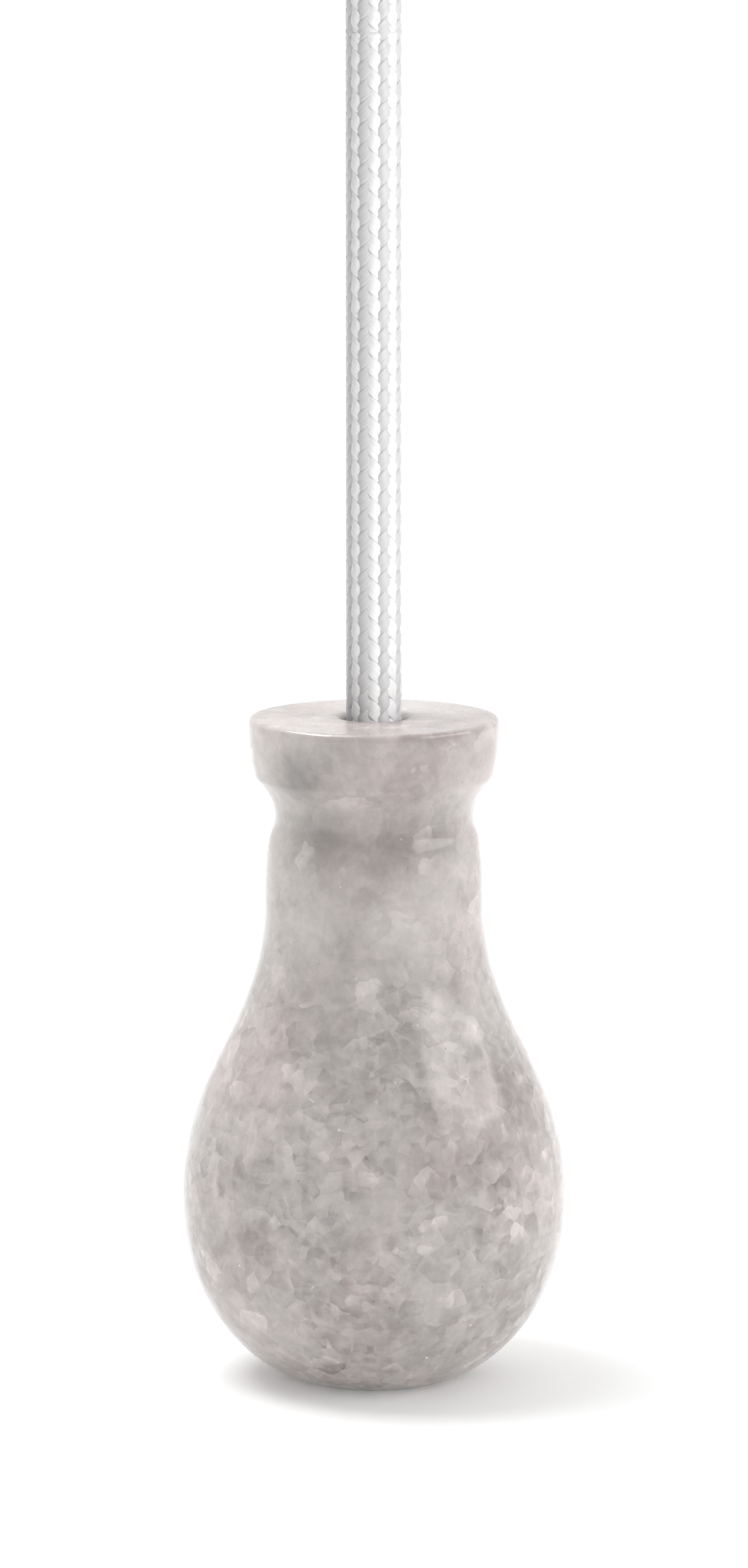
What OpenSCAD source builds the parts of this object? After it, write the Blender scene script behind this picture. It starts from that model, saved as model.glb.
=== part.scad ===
// Stone plumb bob on a braided cord.
// The cord leaves a two-part screw connector at its top end, runs down through the stone
// and is knotted against a washer in a recess under it. Z = 0 is the top of the connector,
// +Z points up the cord, and everything is in millimetres.

/* [Stone] */
// Height of the stone, foot to top face
stone_h = 60; // [54:0.5:70]
// Widest radius, low on the belly
belly_r = 17.25; // [16:0.05:20]
// Height of the widest point above the foot
belly_z = 16.5; // [14:0.5:19]
// Radius of the flat foot
foot_r = 7.4; // [7.2:0.1:8.5]
// Radius of the neck's bead, under the groove
neck_r = 9.75; // [9.3:0.05:11]
// Radius at the bottom of the groove
groove_r = 8.9; // [8.5:0.05:9.2]
// Radius of the collar at its lower corner
collar_low_r = 10.65; // [10:0.05:11]
// Widest radius of the collar
collar_r = 11.18; // [11.06:0.02:12]

/* [Stone bore] */
// Radius of the hole that the cord runs through
bore_r = 3; // [2.8:0.05:3.3]
// Radius of the recess that hides the knot
recess_r = 6; // [5.9:0.05:6.3]
// Depth of the recess, from the foot
recess_depth = 22; // [19.5:0.5:24]
// Chamfer on both mouths
mouth_chamfer = 0.4; // [0.2:0.05:0.5]

/* [Cord] */
// Diameter of the braided cord
cord_d = 5; // [4.6:0.1:5]
// Free cord between the connector's mouth and the stone
cord_run = 70; // [62:1:400]
// Radius of the knot inside the connector
upper_knot_r = 5.4; // [5:0.1:5.4]
// Height of the knot inside the connector
upper_knot_h = 9.2; // [8.4:0.1:9.2]
// Radius of the stopper knot under the stone
stop_knot_r = 5.6; // [5.2:0.1:5.6]
// Height of the stopper knot
stop_knot_h = 11.6; // [10.6:0.1:12]
// Cord left below the stopper knot
tail_len = 4; // [3:0.5:4.5]

/* [Washer] */
// Outer diameter of the flat washer
washer_d = 10; // [9.5:0.5:11.5]
// Hole in the washer
washer_hole_d = 5.3; // [5.2:0.1:5.6]
// Thickness of the washer
washer_t = 1; // [0.8:0.1:1.2]

/* [Connector] */
// Outer diameter of both shells
shell_d = 16.5; // [16.2:0.1:18]
// Height of the upper shell
cap_h = 15; // [14.5:0.5:16]
// Height of the lower shell below the seam
base_h = 13; // [12.5:0.5:14]
// Diameter of the hole for the switch cord
switch_hole_d = 2.5; // [2:0.1:3]
// Thickness of the top wall around the switch cord
top_wall = 2.5; // [2:0.1:2.5]
// Diameter of the screw thread
thread_d = 13.5; // [13.4:0.05:13.6]
// Radial play in the thread
thread_play = 0.1; // [0.06:0.01:0.1]
// Length of the screw thread
thread_len = 7; // [6:0.5:7]

/* [Hidden] */
$fn = 96;
eps = 0.01;
play = 0.05;            // gap between faces that touch in use
cord_r = cord_d / 2;

// Stone heights above its own foot, kept in proportion to stone_h
neck_z = stone_h * 0.731;
groove_z = stone_h * 0.855;
collar_z = stone_h * 0.912;
collar_wide_z = stone_h * 0.988;
rim_round = 0.7;        // rounding of the rim around the top face
rim_flat_r = collar_r - rim_round;

// Heights in the assembly
seam_z = -cap_h;
mouth_z = -cap_h - base_h;
stone_top_z = mouth_z - cord_run;
foot_z = stone_top_z - stone_h;
ceiling_z = foot_z + recess_depth;

// Connector inside
chamber_r = 5.8;
dome_z = -(cap_h - thread_len);
cord_hole_len = 4;      // plain hole between the mouth and the conical seat
seat_h = 4.5;           // height of the conical seat
seat_low_z = mouth_z + cord_hole_len;
seat_top_z = seat_low_z + seat_h;
shell_bevel = 0.2;      // on the edges that meet at the seam
cord_hole_r = 2.8;
flare_r = 3.5;
flare_h = 1.2;

// The upper knot rests on the conical seat, its middle this far above the seat's foot
knot_above_seat = 6.1;
upper_knot_z = seat_low_z + knot_above_seat;
tip_h = 0.8;
upper_tail_len = 1.6;

// The cord bends at two points just under the connector
mouth_to_bend = 4.5;
bend_spacing = 9.5;
bend_side_z = mouth_z - mouth_to_bend;
bend_front_z = bend_side_z - bend_spacing;

// Stopper knot
stop_knot_top_z = ceiling_z - washer_t - 2 * play;
stop_knot_low_z = stop_knot_top_z - stop_knot_h;

STONE = [0.72, 0.70, 0.68];
CORD = [0.93, 0.93, 0.93];
MELT = [0.86, 0.86, 0.84];
STEEL = [0.72, 0.73, 0.74];
NICKEL = [0.80, 0.79, 0.77];

// Points of a cubic curve from a to d with handles b and c, without its first point
function curve(a, b, c, d, steps) =
    [for (i = [1 : steps]) let (t = i / steps, u = 1 - t)
        u * u * u * a + 3 * u * u * t * b + 3 * u * t * t * c + t * t * t * d];

// Quarter ellipse from the top of the arc to its widest point
function quarter(centre, a, b, steps) =
    [for (i = [0 : steps]) let (w = 90 * i / steps) centre + [a * sin(w), b * cos(w)]];

// Outline of the stone, from the foot to the rim of the top face
function stone_outline() = let (
        foot = [foot_r, 0],
        belly = [belly_r, belly_z],
        neck = [neck_r, neck_z],
        groove = [groove_r, groove_z],
        corner = [collar_low_r, collar_z],
        wide = [collar_r, collar_wide_z],
        rim = [rim_flat_r, stone_h]
    ) concat(
        [[0, 0], foot],
        curve(foot, foot + [3.8, 1.2], belly - [0, 10.2], belly, 18),
        curve(belly, belly + [0, 11.8], neck - [0, 11.9], neck, 18),
        curve(neck, neck + [0, 7], groove - [0, 2.3], groove, 10),
        curve(groove, groove + [0, 0.8], corner - [1.35, 1.45], corner, 8),
        curve(corner, corner + [0.25, 1.3], wide - [0, 2.9], wide, 6),
        curve(wide, wide + [0, rim_round], rim + [0.5, 0], rim, 5),
        [[0, stone_h]]
    );

// Chamfer cutter for the mouth of a hole of radius r, opening upwards at z = 0
module mouth_cut(r, c) {
    translate([0, 0, -c]) cylinder(h = c + eps, r1 = r, r2 = r + c + eps);
}

// Tightened overhand knot as a plain bun of radius r and height h, centred on z = 0
module knot(r, h) {
    waist = r - cord_r;
    rotate_extrude() polygon(concat(
        [[0, -h / 2]],
        [for (w = [-90 : 7.5 : 90])
            [cord_r + waist * pow(max(cos(w), 0), 0.9), h / 2 * sin(w)]],
        [[0, h / 2]]));
}

// Melted end of the cord, its rounded side up
module melted_tip() {
    rotate_extrude() polygon(concat(
        [[0, 0], [cord_r, 0]],
        [for (w = [15 : 15 : 90]) [cord_r * (0.55 + 0.45 * cos(w)), tip_h * sin(w)]],
        [[0, tip_h]]));
}

// Straight cord from z_low to z_high, with a round end on a bend point if ball is true
module cord(z_low, z_high, ball = false) {
    translate([0, 0, z_low]) cylinder(h = z_high - z_low, r = cord_r);
    if (ball) translate([0, 0, z_high]) sphere(r = cord_r);
}

module stone_body() {
    color(STONE) translate([0, 0, foot_z]) difference() {
        rotate_extrude() polygon(stone_outline());
        translate([0, 0, -eps]) cylinder(h = stone_h + 2 * eps, r = bore_r);
        translate([0, 0, -eps]) cylinder(h = recess_depth + eps, r = recess_r);
        translate([0, 0, stone_h]) mouth_cut(bore_r, mouth_chamfer);
        mirror([0, 0, 1]) mouth_cut(recess_r, mouth_chamfer);
    }
}

module stop_washer() {
    color(STEEL) translate([0, 0, ceiling_z - play - washer_t]) difference() {
        cylinder(h = washer_t, d = washer_d);
        translate([0, 0, -eps]) cylinder(h = washer_t + 2 * eps, d = washer_hole_d);
    }
}

module cord_neck() {
    color(CORD) cord(bend_side_z + cord_r + play, upper_knot_z - upper_knot_h / 2);
}

module cord_upper() {
    color(CORD) cord(bend_front_z + cord_r + play, bend_side_z, true);
}

module cord_lower() {
    color(CORD) cord(stop_knot_top_z, bend_front_z, true);
}

module upper_knot() {
    color(CORD) translate([0, 0, upper_knot_z]) knot(upper_knot_r, upper_knot_h);
}

module upper_tail() {
    color(CORD) translate([0, 0, upper_knot_z + upper_knot_h / 2])
        cord(0, upper_tail_len);
}

module upper_tip() {
    color(MELT) translate([0, 0, upper_knot_z + upper_knot_h / 2 + upper_tail_len])
        melted_tip();
}

module stop_knot() {
    color(CORD) translate([0, 0, stop_knot_top_z - stop_knot_h / 2])
        knot(stop_knot_r, stop_knot_h);
}

module lower_tail() {
    color(CORD) cord(stop_knot_low_z - tail_len, stop_knot_low_z);
}

module lower_tip() {
    color(MELT) translate([0, 0, stop_knot_low_z - tail_len])
        mirror([0, 0, 1]) melted_tip();
}

module connector_cap() {
    shell_r = shell_d / 2;
    socket_r = thread_d / 2 + thread_play;
    crown_r = 2.4;          // where the outer dome's curve starts
    inner_crown_r = 3.2;    // where the inner dome's curve starts
    color(NICKEL) difference() {
        rotate_extrude() polygon(concat(
            [[0, 0]],
            quarter([crown_r, dome_z], shell_r - crown_r, -dome_z, 14),
            [[shell_r, seam_z + shell_bevel], [shell_r - shell_bevel, seam_z], [0, seam_z]]));
        translate([0, 0, -top_wall - eps])
            cylinder(h = top_wall + 2 * eps, d = switch_hole_d);
        rotate_extrude() polygon(concat(
            [[0, -top_wall]],
            quarter([inner_crown_r, dome_z], chamber_r - inner_crown_r, -dome_z - top_wall, 10),
            [[chamber_r, dome_z - eps], [0, dome_z - eps]]));
        translate([0, 0, seam_z - eps]) cylinder(h = thread_len + eps, r = socket_r);
    }
}

module connector_base() {
    shell_r = shell_d / 2;
    spigot_r = thread_d / 2;
    shoulder_z = seam_z - play;
    spigot_top_z = dome_z - 3 * play;
    band_h = 1.6;           // straight band under the seam
    lip_r = 4.2;
    lip_round = 0.7;
    waist = [shell_r, shoulder_z - band_h];
    lip = [lip_r, mouth_z + lip_round];
    color(NICKEL) difference() {
        rotate_extrude() polygon(concat(
            [[0, spigot_top_z], [spigot_r - shell_bevel, spigot_top_z],
             [spigot_r, spigot_top_z - shell_bevel], [spigot_r, shoulder_z],
             [shell_r - shell_bevel, shoulder_z], [shell_r, shoulder_z - shell_bevel], waist],
            curve(waist, waist - [0, 5.2], lip + [0.3, 4.8], lip, 14),
            [for (w = [15 : 15 : 90])
                [lip_r - lip_round * (1 - cos(w)), lip[1] - lip_round * sin(w)]],
            [[0, mouth_z]]));
        translate([0, 0, seat_top_z])
            cylinder(h = spigot_top_z - seat_top_z + eps, r = chamber_r);
        translate([0, 0, seat_low_z])
            cylinder(h = seat_top_z - seat_low_z, r1 = cord_hole_r, r2 = chamber_r);
        translate([0, 0, mouth_z - eps])
            cylinder(h = seat_low_z - mouth_z + 2 * eps, r = cord_hole_r);
        translate([0, 0, mouth_z - eps])
            cylinder(h = flare_h + eps, r1 = flare_r, r2 = cord_hole_r);
    }
}

stone_body();
stop_washer();
cord_upper();
cord_lower();
cord_neck();
upper_knot();
upper_tail();
upper_tip();
stop_knot();
lower_tail();
lower_tip();
connector_cap();
connector_base();
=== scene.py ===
"""Pear-shaped stone plumb bob on a braided cord: the looks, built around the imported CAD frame.

The camera and the cord come first, then the stone, the knots, the connector and the washer,
then the materials, the light and the floor. Lengths are in metres; MM turns millimetres
into metres.
"""

import math

import bpy
import numpy as np
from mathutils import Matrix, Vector, noise


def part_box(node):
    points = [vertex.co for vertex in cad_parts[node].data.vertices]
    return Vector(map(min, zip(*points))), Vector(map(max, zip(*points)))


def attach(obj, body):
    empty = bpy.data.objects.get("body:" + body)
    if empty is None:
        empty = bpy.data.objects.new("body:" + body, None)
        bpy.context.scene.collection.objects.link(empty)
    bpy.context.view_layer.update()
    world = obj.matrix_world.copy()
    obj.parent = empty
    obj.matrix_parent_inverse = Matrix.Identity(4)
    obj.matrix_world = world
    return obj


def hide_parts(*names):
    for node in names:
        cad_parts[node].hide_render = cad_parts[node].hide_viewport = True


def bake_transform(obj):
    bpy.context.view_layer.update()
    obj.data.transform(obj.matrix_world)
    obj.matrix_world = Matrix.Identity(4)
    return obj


MM = 0.001
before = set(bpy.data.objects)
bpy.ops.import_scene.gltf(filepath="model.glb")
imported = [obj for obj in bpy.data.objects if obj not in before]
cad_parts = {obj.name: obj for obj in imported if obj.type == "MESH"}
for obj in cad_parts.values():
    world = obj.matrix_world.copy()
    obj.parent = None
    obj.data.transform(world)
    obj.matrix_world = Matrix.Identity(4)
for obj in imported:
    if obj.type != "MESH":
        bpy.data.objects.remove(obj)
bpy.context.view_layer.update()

# ---------------------------------------------------------------- places, from the frame
stone_low, stone_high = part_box("stone_body")
FOOT_Z = stone_low.z
STONE_H = stone_high.z - stone_low.z
BELLY_R = stone_high.x

MOUTH_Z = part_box("connector_base")[0].z
SPIGOT_TOP_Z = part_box("connector_base")[1].z
SEAM_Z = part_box("connector_cap")[0].z
SHELL_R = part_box("connector_cap")[1].x

CORD_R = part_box("cord_lower")[1].x
BEND_SIDE_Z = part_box("cord_upper")[1].z - CORD_R
BEND_FRONT_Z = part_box("cord_lower")[1].z - CORD_R
STOP_KNOT_LOW, STOP_KNOT_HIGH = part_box("stop_knot")
UPPER_KNOT_LOW, UPPER_KNOT_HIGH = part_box("upper_knot")

# ---------------------------------------------------------------- the braid
STRANDS_EACH_WAY = 8
BRAID_PITCH = 1.8 * MM                      # between two cells of one column
BRAID_LEAD = STRANDS_EACH_WAY * BRAID_PITCH  # one turn of a strand
STRAND_W = 1.34 * MM
STRAND_T = 0.30 * MM
STRAND_WAVE = 0.13 * MM                     # how far a strand dips under the next
STRAND_SQUARE = 0.5                         # shape of its section: 1 is an ellipse, 0 a box
SECTION_POINTS = 12
RINGS_PER_CELL = 7
CORE_POINTS = 24
ROPE_IN_KNOT = 3.3 * MM                     # the cord's diameter where the knot squeezes it
KNOT_REACH = 4.3                            # half height of the knot's crossing turns, mm

# Smoky patches in the stone: x, y and height above the foot, reach, all in mm, and strength
SMOKE = (
    (-6.6, -8.4, 55.5, 4.0, 0.75), (-4.5, -8.0, 50.5, 4.5, 0.45), (3.0, -8.5, 49.5, 5.5, 0.65),
    (6.0, -7.0, 51.5, 4.0, 0.45), (1.5, -12.0, 33.0, 6.0, 0.30), (-10.5, -12.5, 20.0, 5.0, 0.40),
    (12.0, -7.0, 27.0, 5.0, 0.35), (-2.0, 9.0, 48.0, 6.0, 0.50), (9.0, 12.0, 22.0, 6.0, 0.35),
    (-13.0, 6.0, 28.0, 5.0, 0.35), (5.0, 9.5, 55.0, 4.0, 0.50),
)


# ================================================================ helpers
def bezier(a, b, c, d, steps):
    """Points of a cubic curve from a to d with handles b and c, without its first point."""
    t = np.linspace(0, 1, steps + 1)[1:, None]
    a, b, c, d = (np.array(p, float) for p in (a, b, c, d))
    u = 1 - t
    return u**3 * a + 3 * u * u * t * b + 3 * u * t * t * c + t**3 * d


def make_mesh(name, points, faces, smooth=True):
    """A mesh object of that name in the scene."""
    mesh = bpy.data.meshes.new(name)
    mesh.from_pydata([tuple(p) for p in points], [], [tuple(f) for f in faces])
    mesh.update()
    if smooth:
        mesh.shade_smooth()
    else:
        mesh.shade_flat()
    thing = bpy.data.objects.new(name, mesh)
    bpy.context.scene.collection.objects.link(thing)
    return thing


def revolve(name, outline, segments, shift=None):
    """Turns a closed outline of (radius, height) points round the Z axis.
    Points on the axis become one vertex. shift moves each point if it is given."""
    turn = np.linspace(0, 2 * math.pi, segments, endpoint=False)
    points, rings = [], []
    for r, z in outline:
        if r < 1e-9:
            rings.append([len(points)] * segments)
            points.append((0, 0, z))
            continue
        rings.append(list(range(len(points), len(points) + segments)))
        points += [(r * math.cos(w), r * math.sin(w), z) for w in turn]
    faces = []
    for k, low in enumerate(rings):
        high = rings[(k + 1) % len(rings)]
        for i in range(segments):
            j = (i + 1) % segments
            corners = [low[i], low[j], high[j], high[i]]
            face = list(dict.fromkeys(corners))
            if len(face) > 2:
                faces.append(face)
    if shift is not None:
        points = [shift(Vector(p)) for p in points]
    return make_mesh(name, points, faces)


def spread(points, step):
    """The same line with points about step apart."""
    points = np.array(points, float)
    along = np.r_[0, np.cumsum(np.linalg.norm(np.diff(points, axis=0), axis=1))]
    count = max(int(round(along[-1] / step)), 1)
    places = np.linspace(0, along[-1], count + 1)
    columns = [np.interp(places, along, points[:, k]) for k in range(points.shape[1])]
    return np.stack(columns, 1)


def sharpen(piece, degrees):
    """Shades edges that turn more than that many degrees as sharp ones."""
    piece.data.set_sharp_from_angle(angle=math.radians(degrees))


# ================================================================ camera
def make_camera():
    """A long lens a little above the stone, aimed at the stone's shoulder."""
    distance, rise = 560 * MM, math.radians(11.7)
    stand_height, aim_height = 30 * MM, 53.9 * MM
    stand = Vector((0, 0, FOOT_Z + stand_height))
    aim = Vector((0, 0, FOOT_Z + aim_height))
    lens = bpy.data.cameras.new("camera")
    lens.sensor_width = 36
    lens.lens = 142.7
    lens.clip_start, lens.clip_end = 0.01, 20
    camera = bpy.data.objects.new("camera", lens)
    camera.location = stand + distance * Vector((0, -math.cos(rise), math.sin(rise)))
    camera.rotation_mode = "QUATERNION"
    camera.rotation_quaternion = (aim - camera.location).to_track_quat("-Z", "Y")
    bpy.context.scene.collection.objects.link(camera)
    bpy.context.scene.camera = camera


# ================================================================ cord
def carry_frames(line, from_end=False):
    """Two unit vectors square to the line at each of its points, carried along without twist
    from its first point, or from its last."""
    ahead = np.gradient(line, axis=0)
    ahead /= np.linalg.norm(ahead, axis=1, keepdims=True)
    order = list(range(len(line)))
    if from_end:
        order.reverse()
    side = np.zeros_like(line)
    carried = np.cross(ahead[order[0]], [0, 1, 0])
    for k in order:
        carried = carried - ahead[k] * (carried @ ahead[k])
        carried /= np.linalg.norm(carried)
        side[k] = carried
    return side, np.cross(ahead, side)


def strand_points(way, number, rings, length, start_along, radius):
    """Section rings of one flat strand on a straight cord, as (place, angle, distance from the
    axis). rings are the places along the cord of the strand's middle line, and the rings turn
    from square across the strand to square across the cord at both of its ends."""
    # how far a strand's sides follow their own angle, how steeply it dives, and the top of the dive
    follow, steep, crest = 0.65, 1.6, 0.92
    section = np.linspace(0, 2 * math.pi, SECTION_POINTS, endpoint=False)
    across = np.sign(np.cos(section)) * np.abs(np.cos(section)) ** STRAND_SQUARE
    up = np.sign(np.sin(section)) * np.abs(np.sin(section)) ** STRAND_SQUARE
    scale = (radius / CORD_R)[:, None]
    middle = radius[:, None] - (STRAND_WAVE + STRAND_T / 2) * scale
    lean = np.arctan(2 * math.pi * middle / BRAID_LEAD)
    offset = across * STRAND_W / 2 * scale
    aslant = way * offset * np.sin(lean)
    square = np.clip(np.minimum(rings, length - rings) / STRAND_W, 0, 1)[:, None]
    place = rings[:, None] - aslant * square
    own = rings[:, None] + aslant * (1 - square) + start_along
    turn = way * 2 * math.pi * own / BRAID_LEAD + 2 * math.pi * number / STRANDS_EACH_WAY
    angle = turn + offset * np.cos(lean) / middle
    # in every second column of cells this strand lies on top
    felt = turn + follow * (angle - turn)
    over = np.tanh(steep * np.cos(STRANDS_EACH_WAY * felt))
    wave = -way * STRAND_WAVE * scale * over / crest
    return place, angle, middle + wave + up * STRAND_T / 2 * scale


def braid(name, line, radius, start_along=None, end_along=None):
    """A braided tube round the line: flat strands, half one way and half the other, over a core.
    radius is one number or one for each point. The pattern is set by start_along, its place at
    the line's first point, or by end_along, its place at the last."""
    line = np.array(line, float)
    radius = np.broadcast_to(np.asarray(radius, float), (len(line),))
    along = np.r_[0, np.cumsum(np.linalg.norm(np.diff(line, axis=0), axis=1))]
    side, other = carry_frames(line, from_end=end_along is not None)
    if end_along is not None:
        start_along = end_along - along[-1]
    points, faces, strand_uv = [], [], []

    def add_tube(place, angle, out, grain):
        """One closed tube of rings; place is measured from the line's start."""
        rings, ring_size = place.shape
        s = np.clip(place, along[0], along[-1])
        centre = np.stack([np.interp(s, along, line[:, k]) for k in range(3)], -1)
        u = np.stack([np.interp(s, along, side[:, k]) for k in range(3)], -1)
        v = np.stack([np.interp(s, along, other[:, k]) for k in range(3)], -1)
        made = centre + out[..., None] * (np.cos(angle)[..., None] * u
                                          + np.sin(angle)[..., None] * v)
        first = len(points)
        points.extend(made.reshape(-1, 3))
        for k in range(rings - 1):
            for i in range(ring_size):
                j = (i + 1) % ring_size
                low, high = first + k * ring_size, first + (k + 1) * ring_size
                faces.append((low + i, low + j, high + j, high + i))
                v0, v1 = (place[k].mean(), place[k + 1].mean())
                w0, w1 = i / ring_size, (i + 1) / ring_size
                strand_uv.append(((w0, v0 + grain), (w1, v0 + grain),
                                  (w1, v1 + grain), (w0, v1 + grain)))
        for ring, flip in ((0, True), (rings - 1, False)):
            cap = [first + ring * ring_size + i for i in range(ring_size)]
            faces.append(tuple(reversed(cap)) if flip else tuple(cap))
            strand_uv.append(tuple((0.5, place[ring].mean() + grain) for _ in cap))

    step = BRAID_LEAD / (2 * STRANDS_EACH_WAY) / RINGS_PER_CELL
    count = max(int(along[-1] / step), 8)
    places = np.linspace(0, along[-1], count + 1)
    size = np.interp(places, along, radius)
    for way in (1, -1):
        for number in range(STRANDS_EACH_WAY):
            place, angle, out = strand_points(way, number, places, along[-1], start_along, size)
            add_tube(place, angle, out, 0.037 * number + 0.5 * way)
    core = np.linspace(0, 2 * math.pi, CORE_POINTS, endpoint=False)
    few = np.linspace(0, along[-1], max(count // 8, 4))
    core_r = np.interp(few, along, radius) - (STRAND_WAVE + STRAND_T) * 1.15
    add_tube(np.tile(few[:, None], (1, CORE_POINTS)), np.tile(core, (len(few), 1)),
             np.tile(core_r[:, None], (1, CORE_POINTS)), 0.0)
    cord = make_mesh(name, points, faces)
    layer = cord.data.uv_layers.new(name="strand")
    layer.data.foreach_set("uv", [x for face in strand_uv for uv in face for x in uv])
    sharpen(cord, 80)
    return cord


def make_cord():
    """The cord from the upper knot to the stopper knot, in two lengths."""
    split_z = (BEND_SIDE_Z + BEND_FRONT_Z) / 2
    lengths = (
        ("cord_neck_braid", UPPER_KNOT_LOW.z, split_z, "cord_head", "cord_bend", BEND_SIDE_Z,
         ("cord_neck", "cord_upper")),
        ("cord_run_braid", split_z, STOP_KNOT_HIGH.z, "cord_bend", "cord_run", BEND_FRONT_Z,
         ("cord_lower",)),
    )
    made = []
    for name, high, low, upper, lower, bend, nodes in lengths:
        count = int((high - low) / (0.25 * MM))
        line = [(0, 0, z) for z in np.linspace(high, low, count)]
        piece = braid(name, line, CORD_R, -high)
        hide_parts(*nodes)
        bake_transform(piece)
        made.append(piece)
    return made


def pull_knot(rope, half):
    """Centre line of a tightened overhand knot in a rope of that diameter, in millimetres, from
    (0, 0, half) to (0, 0, -half). The line is pulled short while its turns push each other away."""
    step, rounds, pulls, pushes = 0.6, 400, 8, 10
    room, flat = 3.9, 3.6
    t = 2.25 * np.linspace(-1, 1, 300)
    loop = 0.9 * np.stack([t**4 - 4 * t**2 + 2, 1.2 * (t**5 / 5 - 2 * t), 1.6 * (t**3 - 3 * t)], 1)
    line = spread(np.vstack([[0, 0, -half], loop, [0, 0, half]]), step)
    apart = int(math.ceil(math.pi * rope / 2 / step))
    for _ in range(rounds):
        for _ in range(pulls):
            line[1:-1] += 0.25 * (line[2:] + line[:-2] - 2 * line[1:-1])
        line[0] += 0.2 * (np.array([0, 0, -half]) - line[0])
        line[-1] += 0.2 * (np.array([0, 0, half]) - line[-1])
        line = spread(line, step)
        one, two = np.triu_indices(len(line), k=apart)
        for _ in range(pushes):
            gap = line[one] - line[two]
            size = np.linalg.norm(gap, axis=1)
            near = size < rope
            push = ((rope - size[near]) / np.maximum(size[near], 1e-6) / 2)[:, None] * gap[near]
            moved, count = np.zeros_like(line), np.zeros(len(line))
            np.add.at(moved, one[near], push)
            np.add.at(moved, two[near], -push)
            np.add.at(count, one[near], 1)
            np.add.at(count, two[near], 1)
            line += moved / np.maximum(count, 1)[:, None]
            reach = np.hypot(line[:, 0], line[:, 1])
            wide = reach > room
            line[wide, :2] *= (1 - 0.6 * (1 - room / reach[wide]))[:, None]
            line[(np.abs(line[:, 2]) > flat) & (reach > 0.6), :2] *= 0.93
        line[0, :2] = line[-1, :2] = 0
    return line[::-1]


def smooth(line, passes):
    """Evens out the line's corners and keeps its two ends."""
    for _ in range(passes):
        line[1:-1] = 0.5 * line[1:-1] + 0.25 * (line[2:] + line[:-2])
    return line


def make_knot(name, shape, top, bottom, low, high, body, nodes, joined_at_top):
    """One knot between the heights low and high, on a cord that runs from top down to bottom.
    The end that isn't joined to the rest of the cord is its tail."""
    rope_r, swell = ROPE_IN_KNOT / 2, 3.2 * MM
    middle = (low + high) / 2
    squeeze = ((high - low) / 2 - rope_r) / (KNOT_REACH * MM)
    turns = shape * MM * [1, 1, squeeze] + [0, 0, middle]
    turns = turns[(turns[:, 2] < top) & (turns[:, 2] > bottom)]
    line = np.vstack([[0, 0, top], turns, [0, 0, bottom]])
    line = smooth(spread(line, 0.3 * MM), 6)
    along = np.r_[0, np.cumsum(np.linalg.norm(np.diff(line, axis=0), axis=1))]
    from_ends = np.minimum(along, along[-1] - along)
    full = np.clip(1 - from_ends / swell, 0, 1)
    radius = rope_r + (CORD_R - rope_r) * full * full * (3 - 2 * full)
    place = {"start_along": -top} if joined_at_top else {"end_along": -bottom}
    knot = braid(name, line, radius, **place)
    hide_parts(*nodes)
    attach(knot, body)
    return knot


def make_tip(name, node, joint_z, outwards, body):
    """A melted cord end: a lumpy cap that has run over the last of the braid."""
    height = abs(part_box(node)[0 if outwards < 0 else 1].z - joint_z)
    lap = 0.5 * MM
    outline = [(CORD_R * 0.93, -lap), (CORD_R * 0.985, -lap * 0.7)]
    outline += [(CORD_R * math.cos(w) ** 0.6, height * math.sin(w))
                for w in np.linspace(0, math.pi / 2, 14)[:-1]]
    outline += [(0, height), (0, -lap)]
    outline = [(r, joint_z + outwards * z) for r, z in outline]
    if outwards < 0:
        outline.reverse()

    def lump(point):
        """Melted unevenly: the edge sags a little here and there."""
        sway = noise.noise(point * 900 + Vector((joint_z * 1000, 0, 0)))
        sink = 0.10 * sway * abs(outwards)
        edge = math.hypot(point.x, point.y) / CORD_R
        return Vector((point.x * (1 - abs(sink) * 0.5), point.y * (1 - abs(sink) * 0.5),
                       point.z - outwards * height * 0.35 * abs(sway) * edge))

    tip = revolve(name, outline, 64, lump)
    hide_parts(node)
    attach(tip, body)
    return tip


def make_knots():
    """Both knots and both melted tips."""
    shape = pull_knot(ROPE_IN_KNOT / MM, 7)
    upper_tip_z, lower_tip_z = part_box("upper_tip")[0].z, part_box("lower_tip")[1].z
    upper = make_knot("upper_knot_braid", shape, upper_tip_z, UPPER_KNOT_LOW.z,
                      UPPER_KNOT_LOW.z, UPPER_KNOT_HIGH.z, "cord_head",
                      ("upper_knot", "upper_tail"), joined_at_top=False)
    stop = make_knot("stop_knot_braid", shape, STOP_KNOT_HIGH.z, lower_tip_z,
                     STOP_KNOT_LOW.z, STOP_KNOT_HIGH.z, "cord_run",
                     ("stop_knot", "lower_tail"), joined_at_top=True)
    tips = [make_tip("upper_tip_melt", "upper_tip", upper_tip_z, 1, "cord_head"),
            make_tip("lower_tip_melt", "lower_tip", lower_tip_z, -1, "cord_run")]
    return [upper, stop], tips


# ================================================================ washer and connector
def make_washer():
    """A punched flat washer: rounded on one side, with a sharp burr on the other."""
    low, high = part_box("stop_washer")
    outer, hole = high.x, 2.65 * MM
    soft, sharp = 0.22 * MM, 0.06 * MM
    outline = []
    for r, z, size, start in ((outer, low.z, soft, -90), (outer, high.z, sharp, 0),
                              (hole, high.z, sharp, 90), (hole, low.z, soft, 180)):
        centre_r = r - size if r == outer else r + size
        centre_z = z + size if z == low.z else z - size
        for w in np.radians(np.linspace(start, start + 90, 6)):
            outline.append((centre_r + size * math.cos(w), centre_z + size * math.sin(w)))
    washer = revolve("washer_plate", outline, 144)
    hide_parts("stop_washer")
    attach(washer, "washer")
    return washer


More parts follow.
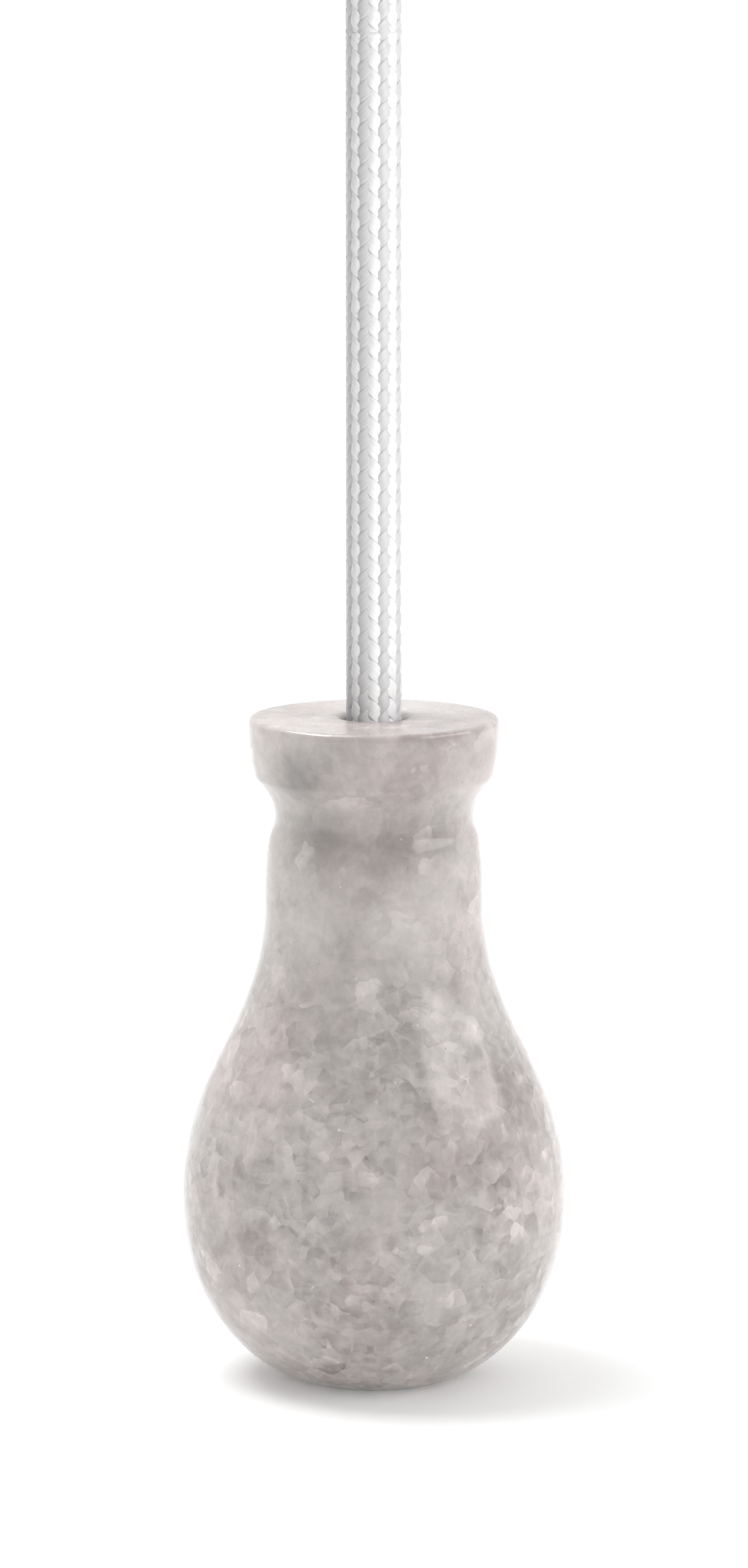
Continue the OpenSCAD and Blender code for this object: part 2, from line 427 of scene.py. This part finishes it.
def threaded(point, low, high):
    """Cuts the screw thread's groove into a point of the thread's wall between two heights."""
    pitch, depth, fade = 1.25 * MM, 0.4 * MM, 0.6 * MM
    flat, steep = 1.6, 4.6                  # a wide flat bottom between steep flanks
    turn = math.atan2(point.y, point.x) / (2 * math.pi)
    phase = (point.z / pitch - turn) % 1
    groove = min(1, max(0, flat - steep * abs(phase - 0.5)))
    ends = min(1, max(0, (point.z - low) / fade), max(0, (high - point.z) / fade))
    radius = math.hypot(point.x, point.y)
    shrink = (radius - depth * groove * ends) / radius
    return Vector((point.x * shrink, point.y * shrink, point.z))


def quarter(centre, a, b, steps=28):
    """Quarter ellipse from the top of the arc to its widest point."""
    return [(centre[0] + a * math.sin(w), centre[1] + b * math.cos(w))
            for w in np.linspace(0, math.pi / 2, steps)]


def make_connector():
    """Both nickel shells, with the screw thread between them. Sizes are in millimetres."""
    shell, chamber, socket, spigot = SHELL_R / MM, 5.8, 6.85, 6.75
    seam, mouth, top = SEAM_Z / MM, MOUTH_Z / MM, SPIGOT_TOP_Z / MM
    hole, wall, crown, inner_crown, dome = 1.25, 2.5, 2.4, 3.2, -8.0
    bevel, lead_in, seam_gap, row_step = 0.2, 0.35, 0.05, 0.09
    rows = np.arange(dome - 0.05, seam + 0.4, -row_step)
    cap_outline = (
        quarter((crown, dome), shell - crown, -dome)
        + [(shell, z) for z in np.linspace(dome - 0.5, seam + bevel, 10)]
        + [(shell - bevel, seam), (socket + lead_in, seam)]
        + [(socket, z) for z in reversed(rows)]
        + [(socket, dome), (chamber, dome)]
        + list(reversed(quarter((inner_crown, dome), chamber - inner_crown, -dome - wall)))
        + [(hole + 0.1, -wall), (hole, -wall + 0.1), (hole, -0.25), (hole + 0.25, 0)])
    shoulder = seam - seam_gap
    low_seat, high_seat, cord_hole = mouth + 4, mouth + 8.5, 2.8
    flare, flare_h, lip, lip_round, band = 3.5, 1.2, 4.2, 0.7, 1.6
    waist, lip_top = np.array([shell, shoulder - band]), np.array([lip, mouth + lip_round])
    shape = bezier(waist, waist - [0, 5.2], lip_top + [0.3, 4.8], lip_top, 40)
    rows = np.arange(top - 0.3, shoulder + 0.1, -row_step)
    base_outline = (
        [(chamber, top), (spigot - lead_in, top)]
        + [(spigot, z) for z in rows]
        + [(spigot, shoulder), (shell - bevel, shoulder), (shell, shoulder - bevel)]
        + [tuple(waist)] + [tuple(p) for p in shape]
        + [(lip - lip_round + lip_round * math.cos(w),
            mouth + lip_round - lip_round * math.sin(w))
           for w in np.linspace(0, math.pi / 2, 9)[1:]]
        + [(flare - (flare - cord_hole) * math.sin(w), mouth + flare_h * (1 - math.cos(w)))
           for w in np.linspace(0, math.pi / 2, 8)]
        + [(cord_hole, low_seat), (chamber, high_seat)])
    made = []
    for name, node, body, outline, wall_r, low, high in (
            ("connector_cap_shell", "connector_cap", "connector_top", cap_outline, socket,
             seam + 0.3, dome - 0.2),
            ("connector_base_shell", "connector_base", "connector_bottom", base_outline, spigot,
             shoulder + 0.7, top - 0.1)):
        outline = [(r * MM, z * MM) for r, z in outline]

        def cut(point, wall_r=wall_r * MM, low=low * MM, high=high * MM):
            """Threads the points that lie on the wall and leaves the others."""
            on_wall = abs(math.hypot(point.x, point.y) - wall_r) < 1e-6
            return threaded(point, low, high) if on_wall else point

        piece = revolve(name, list(reversed(outline)), 192, cut)
        sharpen(piece, 35)
        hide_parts(node)
        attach(piece, body)
        made.append(piece)
    return made


# ================================================================ stone
def stone_outline(step):
    """The stone's closed section as (radius, height above the foot), in metres."""
    foot_r, neck_r, groove_r = 7.4, 9.75, 8.9
    low_r, wide_r, rim, belly_h = 10.65, 11.18, 0.7, 16.5
    bore_r, recess_r, recess_h, cut = 3.0, 6.0, 22.0, 0.4
    h = STONE_H / MM
    foot, belly = np.array([foot_r, 0]), np.array([BELLY_R / MM, belly_h])
    neck, groove = np.array([neck_r, 0.731 * h]), np.array([groove_r, 0.855 * h])
    corner, wide = np.array([low_r, 0.912 * h]), np.array([wide_r, 0.988 * h])
    top = np.array([wide_r - rim, h])
    up = np.array([0, 1])
    outside = np.vstack([
        [foot],
        bezier(foot, foot + [3.8, 1.2], belly - 10.2 * up, belly, 60),
        bezier(belly, belly + 11.8 * up, neck - 11.9 * up, neck, 60),
        bezier(neck, neck + 7 * up, groove - 2.3 * up, groove, 40),
        bezier(groove, groove + 0.8 * up, corner - [1.35, 1.45], corner, 30),
        bezier(corner, corner + [0.25, 1.3], wide - 2.9 * up, wide, 24),
        bezier(wide, wide + 0.7 * up, top + [0.5, 0], top, 20),
    ])
    inside = [
        (bore_r + cut, h), (bore_r, h - cut), (bore_r, recess_h), (recess_r, recess_h),
        (recess_r, cut), (recess_r + cut, 0),
    ]
    outside = spread(outside, step)
    inside = np.vstack([spread(np.array([a, b]), 1.0)[:-1] for a, b in
                        zip([tuple(outside[-1])] + inside, inside + [(foot_r, 0)])])
    return np.vstack([outside, inside[1:]]) * MM + [0, FOOT_Z]


def worn(point):
    """Hand-turned and polished: the surface wanders by a few hundredths of a millimetre."""
    holes_r, rim_h = 6.5 * MM, 1 * MM
    radius = math.hypot(point.x, point.y)
    if radius < holes_r and point.z < FOOT_Z + STONE_H - rim_h:
        return point
    broad = noise.noise(point * 120) * 0.05
    fine = noise.noise(point * 420 + Vector((3, 1, 2))) * 0.016
    out = Vector((point.x, point.y, 0)).normalized()
    level = min(1, (point.z - FOOT_Z) / (2 * MM))
    return point + out * (broad + fine) * MM * level


def make_stone():
    """The stone in one piece, with its bore and its recess."""
    stone = revolve("stone", stone_outline(0.25), 288, worn)
    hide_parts("stone_body")
    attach(stone, "bob")
    return stone


# ================================================================ materials
class Paint:
    """A material's node tree, built with short calls. Values are numbers, tuples or sockets."""

    def __init__(self, name):
        self.material = bpy.data.materials.new(name)
        self.material.use_nodes = True
        self.tree = self.material.node_tree
        self.shader = self.tree.nodes["Principled BSDF"]
        self.place = self.node("ShaderNodeTexCoord").outputs["Object"]

    def node(self, kind, **fields):
        """A new node, with those of its fields set."""
        made = self.tree.nodes.new(kind)
        for key, value in fields.items():
            setattr(made, key, value)
        return made

    def set(self, socket, value):
        """Links a socket to the value, or stores the value in it. None leaves it as it is."""
        if isinstance(value, bpy.types.NodeSocket):
            self.tree.links.new(value, socket)
        elif value is not None:
            if socket.type == "RGBA" and len(value) == 3:
                value = (*value, 1)
            socket.default_value = value

    def shade(self, **values):
        """Sets the shader's sockets; an underscore in a name stands for a space."""
        for key, value in values.items():
            self.set(self.shader.inputs[key.replace("_", " ")], value)

    def sum(self, operation, a, b=0.5, c=0.5):
        """A Math node's result."""
        made = self.node("ShaderNodeMath", operation=operation)
        for socket, value in zip(made.inputs, (a, b, c)):
            self.set(socket, value)
        return made.outputs[0]

    def vector(self, operation, a, b=(0, 0, 0)):
        """A Vector Math node's result; for SCALE, b is a number."""
        made = self.node("ShaderNodeVectorMath", operation=operation)
        if operation == "SCALE":
            self.set(made.inputs[0], a)
            self.set(made.inputs["Scale"], b)
            return made.outputs[0]
        self.set(made.inputs[0], a)
        self.set(made.inputs[1], b)
        return made.outputs["Value" if operation in ("LENGTH", "DOT_PRODUCT", "DISTANCE") else 0]

    def mix(self, factor, a, b, blend="MIX"):
        """Colour a where factor is 0 and b where it is 1, mixed in the given way."""
        made = self.node("ShaderNodeMix", data_type="RGBA", blend_type=blend)
        self.set(made.inputs["Factor"], factor)
        self.set(made.inputs[6], a)
        self.set(made.inputs[7], b)
        return made.outputs[2]

    def span(self, value, low, high, to_low=0.0, to_high=1.0, smooth=True):
        """value from low to high becomes to_low to to_high, clamped."""
        kind = "SMOOTHSTEP" if smooth else "LINEAR"
        made = self.node("ShaderNodeMapRange", interpolation_type=kind)
        for key, given in (("Value", value), ("From Min", low), ("From Max", high),
                           ("To Min", to_low), ("To Max", to_high)):
            self.set(made.inputs[key], given)
        return made.outputs[0]

    def noise(self, size, detail=2, rough=0.5, bend=0.0, at=None, colour=False):
        """Noise whose features are about size metres across."""
        made = self.node("ShaderNodeTexNoise")
        self.set(made.inputs["Vector"], at or self.place)
        for key, given in (("Scale", 1 / size), ("Detail", detail), ("Roughness", rough),
                           ("Distortion", bend)):
            self.set(made.inputs[key], given)
        return made.outputs["Color" if colour else "Fac"]

    def cells(self, size, feature="F1", at=None, metric="EUCLIDEAN"):
        """Voronoi cells about size metres across. Returns the node."""
        made = self.node("ShaderNodeTexVoronoi", feature=feature)
        if feature != "DISTANCE_TO_EDGE":
            made.distance = metric
        self.set(made.inputs["Vector"], at or self.place)
        self.set(made.inputs["Scale"], 1 / size)
        return made

    def channel(self, colour, index):
        """The red, green or blue of a colour, for index 0, 1 or 2."""
        made = self.node("ShaderNodeSeparateColor")
        self.set(made.inputs[0], colour)
        return made.outputs[index]

    def bump(self, height, distance, strength=1.0, over=None):
        """A normal that a height tilts, on top of the normal given as over."""
        made = self.node("ShaderNodeBump")
        self.set(made.inputs["Height"], height)
        self.set(made.inputs["Distance"], distance)
        self.set(made.inputs["Strength"], strength)
        self.set(made.inputs["Normal"], over)
        return made.outputs[0]

    def on(self, *things):
        """Gives the things this material only."""
        for thing in things:
            thing.data.materials.clear()
            thing.data.materials.append(self.material)
        return self.material


def marble():
    """Polished marble: grey and pink clouds, soft grains with paler seams, pale cleavage flakes,
    painted highlights that stand in for sparkles of light, and dark pinholes. Inside the holes
    and under the foot it is ground, not polished, and the top face is a little duller than the
    sides."""
    p = Paint("marble")
    large_grain, small_grain = 1.9 * MM, 1.2 * MM
    smoke_colour, ground_colour = (0.22, 0.208, 0.196), (0.60, 0.58, 0.56)
    hole_colour, painted_glint_colour = (0.16, 0.15, 0.14), (0.88, 0.87, 0.86)

    def wander(size, far, start):
        """A shift of up to half of far, for edges that aren't straight."""
        drift = p.noise(size, 2, 0.5, at=p.vector("ADD", p.place, start), colour=True)
        return p.vector("SCALE", p.vector("SUBTRACT", drift, (0.5, 0.5, 0.5)), far)

    at = p.vector("ADD", p.place, wander(3 * MM, 1.3 * MM, (0.1, 0.0, 0.0)))
    at = p.vector("ADD", at, wander(0.7 * MM, 0.22 * MM, (0.0, 0.1, 0.0)))

    def cloud(size, start, low, high, detail=4):
        """Soft patches, 0 where their noise is under low and 1 where it is over high."""
        found = p.noise(size, detail, 0.6, 0.3, at=p.vector("ADD", p.place, start))
        return p.span(found, low, high)

    # clouds of four sizes
    middle, pale, smoky = (0.415, 0.388, 0.370), (0.520, 0.487, 0.468), (0.275, 0.256, 0.240)
    base = p.mix(cloud(15 * MM, (0.3, 0.1, 0.2), 0.35, 0.70), middle, pale)
    base = p.mix(p.sum("MULTIPLY", cloud(11 * MM, (0.0, 0.3, 0.4), 0.50, 0.72), 0.70), base, smoky)
    base = p.mix(p.sum("MULTIPLY", cloud(4 * MM, (0.4, 0.2, 0.0), 0.50, 0.75), 0.35), base, smoky)
    base = p.mix(p.sum("MULTIPLY", cloud(2.5 * MM, (0.2, 0.4, 0.1), 0.50, 0.80), 0.45), base, pale)
    pink = p.sum("MULTIPLY", cloud(12 * MM, (0.1, 0.2, 0.5), 0.42, 0.66, detail=2), 0.75)
    base = p.mix(pink, base, p.mix(1.0, base, (1.06, 0.975, 0.98), "MULTIPLY"))

    # a few smoky patches, where the stone has them
    smoke_place = p.vector("ADD", p.place, wander(4 * MM, 4 * MM, (0.7, 0.7, 0.0)))
    for x, y, z, size, strong in SMOKE:
        gap = p.vector("DISTANCE", smoke_place, (x * MM, y * MM, FOOT_Z + z * MM))
        near = p.span(gap, 0.0, size * MM, strong, 0.0)
        base = p.mix(near, base, smoke_colour)

    # grains: facets that each shade from one side to the other, dark soft hearts between paler
    # seams, all stronger in the belly than at the neck
    height = p.node("ShaderNodeSeparateXYZ")
    p.set(height.inputs[0], p.place)
    low_down = p.span(height.outputs["Z"], FOOT_Z + 44 * MM, FOOT_Z + 30 * MM, 0.35, 1.0)
    patchy = p.span(p.noise(8 * MM, 2, at=p.vector("ADD", p.place, (0.6, 0.0, 0.1))), 0.38, 0.62,
                    0.55, 1.0)
    strength = p.sum("MULTIPLY", low_down, patchy)

    def facets(size, start, steep):
        """Plates that each shade from one side to the other, around zero."""
        spot = p.vector("ADD", at, start)
        plate = p.cells(size, at=spot)
        lean = p.vector("SUBTRACT", plate.outputs["Color"], (0.5, 0.5, 0.5))
        local = p.vector("SUBTRACT", spot, plate.outputs["Position"])
        slope = p.sum("DIVIDE", p.vector("DOT_PRODUCT", local, lean), size)
        level = p.sum("SUBTRACT", p.channel(plate.outputs["Color"], 1), 0.5)
        return p.sum("MULTIPLY", p.sum("ADD", slope, p.sum("MULTIPLY", level, 0.4)), steep)

    def hearts(size, start, deep):
        """How dark the middle of each grain is, deeper in some of them; and the grains' node."""
        spot = p.vector("ADD", at, start)
        blob = p.cells(size, at=spot)
        chance = p.span(p.channel(blob.outputs["Color"], 0), 0.25, 1.0, smooth=False)
        near = p.span(blob.outputs["Distance"], 0.10, 0.55, 1.0, 0.0)
        return p.sum("MULTIPLY", p.sum("MULTIPLY", near, chance), deep), blob

    relief_tone = p.sum("ADD", facets(2.1 * MM, (0.0, 0.0, 0.0), 0.42),
                        facets(1.1 * MM, (0.1, 0.3, 0.0), 0.32))
    large, heart = hearts(large_grain, (0.0, 0.0, 0.2), 0.62)
    small, _ = hearts(small_grain, (0.2, 0.0, 0.2), 0.36)
    dusk = p.mix(p.channel(heart.outputs["Color"], 1), (0.66, 0.65, 0.64), (0.69, 0.64, 0.635))
    dark = p.sum("MULTIPLY", p.sum("ADD", large, small), strength)
    base = p.mix(dark, base, p.mix(1.0, base, dusk, "MULTIPLY"))
    edge = p.cells(large_grain, "DISTANCE_TO_EDGE", at=p.vector("ADD", at, (0.0, 0.0, 0.2)))
    seam = p.span(edge.outputs["Distance"], 0.0, 0.16, 0.20, 0.0)
    base = p.mix(p.sum("MULTIPLY", seam, strength), base, pale)
    gain = p.sum("MULTIPLY_ADD", relief_tone, strength, 1.0)

    # fine mottling
    speckle = p.noise(0.6 * MM, 5, 0.75)
    mottle = p.noise(2.4 * MM, 5, 0.7, at=p.vector("ADD", p.place, (0.0, 0.5, 0.5)))
    gain = p.sum("ADD", gain, p.span(speckle, 0.25, 0.75, -0.08, 0.08, smooth=False))
    gain = p.sum("ADD", gain, p.span(mottle, 0.3, 0.7, -0.075, 0.075, smooth=False))
    base = p.vector("SCALE", base, gain)

    # cleavage flakes: sharp corners and one sharp side, fading into the stone on the other
    def flakes(size, rare, start, strong):
        """Those plates whose random number is over rare, each fading towards one side."""
        drift = wander(0.9 * MM, 0.35 * MM, start)
        spot = p.vector("ADD", p.vector("ADD", p.place, start), drift)
        plate = p.cells(size, at=spot, metric="MANHATTAN")
        chance = p.channel(plate.outputs["Color"], 2)
        lean = p.vector("NORMALIZE", p.vector("SUBTRACT", plate.outputs["Color"], (0.5, 0.5, 0.5)))
        across = p.vector("DOT_PRODUCT", p.vector("SUBTRACT", spot, plate.outputs["Position"]), lean)
        fade = p.span(across, -0.15 * size, 0.40 * size)
        return p.sum("MULTIPLY", p.sum("MULTIPLY", p.span(chance, rare, rare + 0.01), fade), strong)

    white = p.vector("SCALE", base, 1.30)
    base = p.mix(flakes(2.2 * MM, 0.93, (0.2, 0.1, 0.0), 0.85), base, white)
    base = p.mix(flakes(4.0 * MM, 0.95, (0.0, 0.2, 0.3), 0.75), base, white)

    # painted highlights that stand in for sparkles of light, and pinholes
    def dots(size, radius, rare, start):
        """Round spots in a few of the cells; radius is a share of size."""
        spot = p.cells(size, at=p.vector("ADD", p.place, start))
        chosen = p.span(p.channel(spot.outputs["Color"], 0), rare, rare + 0.01)
        return p.sum("MULTIPLY", chosen, p.span(spot.outputs["Distance"], radius * 0.5, radius,
                                                1.0, 0.0))

    # painted highlight: a few small white spots in the colour stand in for sparkles of light
    painted_glints = p.sum("MULTIPLY", dots(0.55 * MM, 0.34, 0.80, (0.3, 0.0, 0.0)),
                   p.span(p.noise(3 * MM, 1, at=p.vector("ADD", p.place, (0.9, 0.2, 0.0))),
                          0.70, 0.73))
    base = p.mix(p.sum("MULTIPLY", painted_glints, 0.9), base, painted_glint_colour)
    holes = dots(1.6 * MM, 0.09, 0.80, (0.0, 0.3, 0.0))
    base = p.mix(p.sum("MULTIPLY", holes, 0.45), base, hole_colour)

    # ground faces: the recess, the bore and the foot; and the top face
    from_axis = p.vector("LENGTH", p.vector("MULTIPLY", p.place, (1, 1, 0)))
    inside = p.sum("MULTIPLY", p.span(from_axis, 6.45 * MM, 6.55 * MM, 1.0, 0.0),
                   p.span(height.outputs["Z"], FOOT_Z + STONE_H - 0.5 * MM,
                          FOOT_Z + STONE_H - 0.4 * MM, 1.0, 0.0))
    foot = p.span(height.outputs["Z"], FOOT_Z + 0.06 * MM, FOOT_Z + 0.14 * MM, 1.0, 0.0)
    ground = p.sum("MAXIMUM", inside, foot)
    top_face = p.span(height.outputs["Z"], FOOT_Z + STONE_H - 0.2 * MM,
                      FOOT_Z + STONE_H - 0.1 * MM)
    base = p.mix(p.sum("MULTIPLY", ground, 0.35), base, ground_colour)
    drill = p.node("ShaderNodeTexNoise")
    p.set(drill.inputs["Vector"], p.vector("MULTIPLY", p.place, (300, 300, 9000)))
    drill.inputs["Scale"].default_value = 1

    polish = p.span(p.noise(1.2 * MM, 3, 0.6), 0.3, 0.7, 0.09, 0.16)
    relief = p.bump(p.sum("ADD", relief_tone, speckle), 0.006 * MM, 1.0)
    scored = p.bump(drill.outputs[0], 0.05 * MM, p.sum("MULTIPLY", inside, 0.8), over=relief)
    p.shade(
        Base_Color=base,
        Roughness=p.sum("ADD", polish, p.sum("MULTIPLY_ADD", ground, 0.4,
                                             p.sum("MULTIPLY", top_face, 0.16))),
        Normal=scored,
        Subsurface_Weight=0.35,
        Subsurface_Scale=1.2 * MM,
        IOR=1.5,
    )
    p.shader.inputs["Subsurface Radius"].default_value = (1.0, 0.9, 0.85)
    return p


def polyester():
    """White braided polyester: silky flat strands of fine filaments. The strands that climb one
    way round are painted in a darker grey than the others, as painted shade standing in for
    their weaker sheen."""
    p = Paint("cord_braid")
    uv = p.node("ShaderNodeUVMap", uv_map="strand").outputs[0]
    parts = p.node("ShaderNodeSeparateXYZ")
    p.set(parts.inputs[0], uv)
    threads = p.node("ShaderNodeTexNoise")
    p.set(threads.inputs["Vector"], p.vector("MULTIPLY", uv, (44, 700, 1)))
    threads.inputs["Scale"].default_value = 1
    fibre = threads.outputs["Fac"]
    # painted shade: the strands of one way are darker grey, standing in for their weaker sheen
    painted_weak_sheen = p.span(parts.outputs["Y"], -0.01, 0.01)
    colour = p.mix(painted_weak_sheen, (0.65, 0.65, 0.65), (0.475, 0.475, 0.48))
    colour = p.vector("SCALE", colour, p.span(fibre, 0.3, 0.7, 0.93, 1.03))
    p.shade(
        Base_Color=colour,
        Metallic=0.05,
        Roughness=0.55,
        Anisotropic=0.5,
        Tangent=p.node("ShaderNodeTangent", direction_type="UV_MAP", uv_map="strand").outputs[0],
        Normal=p.bump(fibre, 0.025 * MM, 0.8),
        Sheen_Weight=0.1,
        Sheen_Roughness=0.4,
    )
    return p


def nickel():
    """Satin nickel plate, turned on a lathe: fine rings, handling marks and duller patches."""
    p = Paint("nickel")
    rings = p.node("ShaderNodeTexNoise")
    from_axis = p.vector("LENGTH", p.vector("MULTIPLY", p.place, (1, 1, 0)))
    height = p.node("ShaderNodeSeparateXYZ")
    p.set(height.inputs[0], p.place)
    lathe = p.node("ShaderNodeCombineXYZ")
    p.set(lathe.inputs[0], p.sum("MULTIPLY", from_axis, 14000))
    p.set(lathe.inputs[1], p.sum("MULTIPLY", height.outputs["Z"], 14000))
    p.set(rings.inputs["Vector"], lathe.outputs[0])
    rings.inputs["Scale"].default_value = 1
    smudge = p.noise(5 * MM, 3, 0.6, 0.5)
    p.shade(
        Base_Color=p.mix(p.span(smudge, 0.35, 0.7), (0.50, 0.48, 0.45), (0.42, 0.40, 0.375)),
        Metallic=1.0,
        Roughness=p.sum("ADD", p.span(smudge, 0.35, 0.7, 0.20, 0.32),
                        p.span(rings.outputs["Fac"], 0.3, 0.7, 0.0, 0.06)),
        Normal=p.bump(rings.outputs["Fac"], 0.004 * MM, 0.6),
        Anisotropic=0.5,
    )
    return p


def zinc():
    """Zinc-plated steel: faint bluish and yellowish patches and small scratches."""
    p = Paint("washer_steel")
    patch = p.noise(2 * MM, 3, 0.6)
    scratch = p.node("ShaderNodeTexNoise")
    p.set(scratch.inputs["Vector"], p.vector("MULTIPLY", p.place, (900, 9000, 900)))
    scratch.inputs["Scale"].default_value = 1
    grit = p.noise(0.25 * MM, 2)
    p.shade(
        Base_Color=p.mix(p.span(patch, 0.35, 0.65), (0.56, 0.59, 0.64), (0.66, 0.64, 0.58)),
        Metallic=1.0,
        Roughness=p.span(grit, 0.3, 0.7, 0.28, 0.46),
        Normal=p.bump(p.sum("ADD", scratch.outputs["Fac"], grit), 0.008 * MM, 0.7),
    )
    return p


def melted():
    """Polyester melted by a flame: glassy, slightly yellowed, with small bubbles."""
    p = Paint("cord_melt")
    burn = p.noise(1.5 * MM, 3, 0.6)
    bubbles = p.cells(0.5 * MM).outputs["Distance"]
    p.shade(
        Base_Color=p.mix(p.span(burn, 0.45, 0.75), (0.74, 0.73, 0.70), (0.50, 0.42, 0.31)),
        Roughness=p.span(burn, 0.3, 0.7, 0.18, 0.38),
        Normal=p.bump(bubbles, 0.06 * MM, 0.6),
        Subsurface_Weight=0.4,
        Subsurface_Scale=0.8 * MM,
    )
    return p


# ================================================================ light and floor
def area_light(name, place, aim, size, power, colour=(1, 1, 1)):
    """A rectangular lamp at a place, turned towards aim; power is in watts."""
    light = bpy.data.lights.new(name, "AREA")
    light.shape = "RECTANGLE"
    light.size, light.size_y = size
    light.energy = power
    light.color = colour
    lamp = bpy.data.objects.new(name, light)
    lamp.location = place
    lamp.rotation_mode = "QUATERNION"
    lamp.rotation_quaternion = (Vector(aim) - Vector(place)).to_track_quat("-Z", "Y")
    bpy.context.scene.collection.objects.link(lamp)
    return lamp


def make_floor():
    """A plain white floor that glows a little more away from the object."""
    half = 4
    corners = [(-half, -half, FOOT_Z), (half, -half, FOOT_Z), (half, half, FOOT_Z),
               (-half, half, FOOT_Z)]
    floor = make_mesh("floor", corners, [(0, 1, 2, 3)], smooth=False)
    p = Paint("floor_white")
    away = p.vector("LENGTH", p.vector("MULTIPLY", p.place, (1, 1, 0)))
    p.shade(Base_Color=(0.84, 0.84, 0.84), Roughness=0.8, Specular_IOR_Level=0.2,
            Emission_Color=(1.0, 1.0, 1.0), Emission_Strength=p.span(away, 0.03, 0.4, 0.15, 0.40))
    p.on(floor)
    return floor


def make_studio(lit_from_above, cords, polished):
    """A white room, brighter at the back. The soft box at the right and the strip that edges the
    rim show only as reflections, in the stone and the floor. The fill at the right and the light
    above leave the cord out, and the key light is for the cord alone."""
    dim, bright = 0.50, 1.18
    world = bpy.data.worlds.new("studio")
    bpy.context.scene.world = world
    world.use_nodes = True
    nodes, links = world.node_tree.nodes, world.node_tree.links
    direction = nodes.new("ShaderNodeTexCoord")
    parts = nodes.new("ShaderNodeSeparateXYZ")
    links.new(direction.outputs["Generated"], parts.inputs[0])
    glow = nodes.new("ShaderNodeMapRange")
    glow.interpolation_type = "SMOOTHSTEP"
    for key, value in (("From Min", -0.5), ("From Max", 0.6), ("To Min", dim), ("To Max", bright)):
        glow.inputs[key].default_value = value
    links.new(parts.outputs["Y"], glow.inputs["Value"])
    links.new(glow.outputs[0], nodes["Background"].inputs["Strength"])
    nodes["Background"].inputs["Color"].default_value = (1, 1, 1, 1)
    middle = (0, 0, FOOT_Z + STONE_H / 2)
    mirrored = area_light("soft_box", (0.506, -0.131, FOOT_Z + 0.33), middle, (0.58, 0.24), 1.48,
                          (1.0, 0.95, 0.94))
    mirrored.visible_diffuse = False
    strip = area_light("rim_strip", (-0.33, 0.04, FOOT_Z + 0.56), middle, (0.42, 0.10), 3.4)
    strip.visible_diffuse = False
    fill = area_light("right_fill", (0.46, -0.24, FOOT_Z + 0.24), middle, (0.40, 0.40), 1.2)
    fill.visible_glossy = False
    above = area_light("top_light", (-0.24, 0.05, FOOT_Z + 0.60), middle, (0.30, 0.30), 2.3)
    key = area_light("cord_key", (0.34, -0.38, FOOT_Z + 0.20), (0, 0, MOUTH_Z - 45 * MM),
                     (0.22, 0.22), 2.2)
    for lamp, things in ((above, lit_from_above), (fill, lit_from_above), (key, cords),
                         (mirrored, polished), (strip, polished)):
        lit = bpy.data.collections.new("lit_by_" + lamp.name)
        for thing in things:
            lit.objects.link(thing)
        lamp.light_linking.receiver_collection = lit

    scene = bpy.context.scene
    scene.view_settings.view_transform = "Standard"
    scene.view_settings.look = "None"
    scene.view_settings.exposure = 0
    scene.view_settings.gamma = 1


# ================================================================ the scene
make_camera()
cord_neck, cord_run = make_cord()
knots, tips = make_knots()
stone = make_stone()
washer = make_washer()
shells = make_connector()
marble().on(stone)
polyester().on(cord_neck, cord_run, *knots)
melted().on(*tips)
zinc().on(washer)
nickel().on(*shells)
floor = make_floor()
make_studio([floor, stone, washer, *shells, *tips], [cord_neck, cord_run, *knots], [floor, stone])
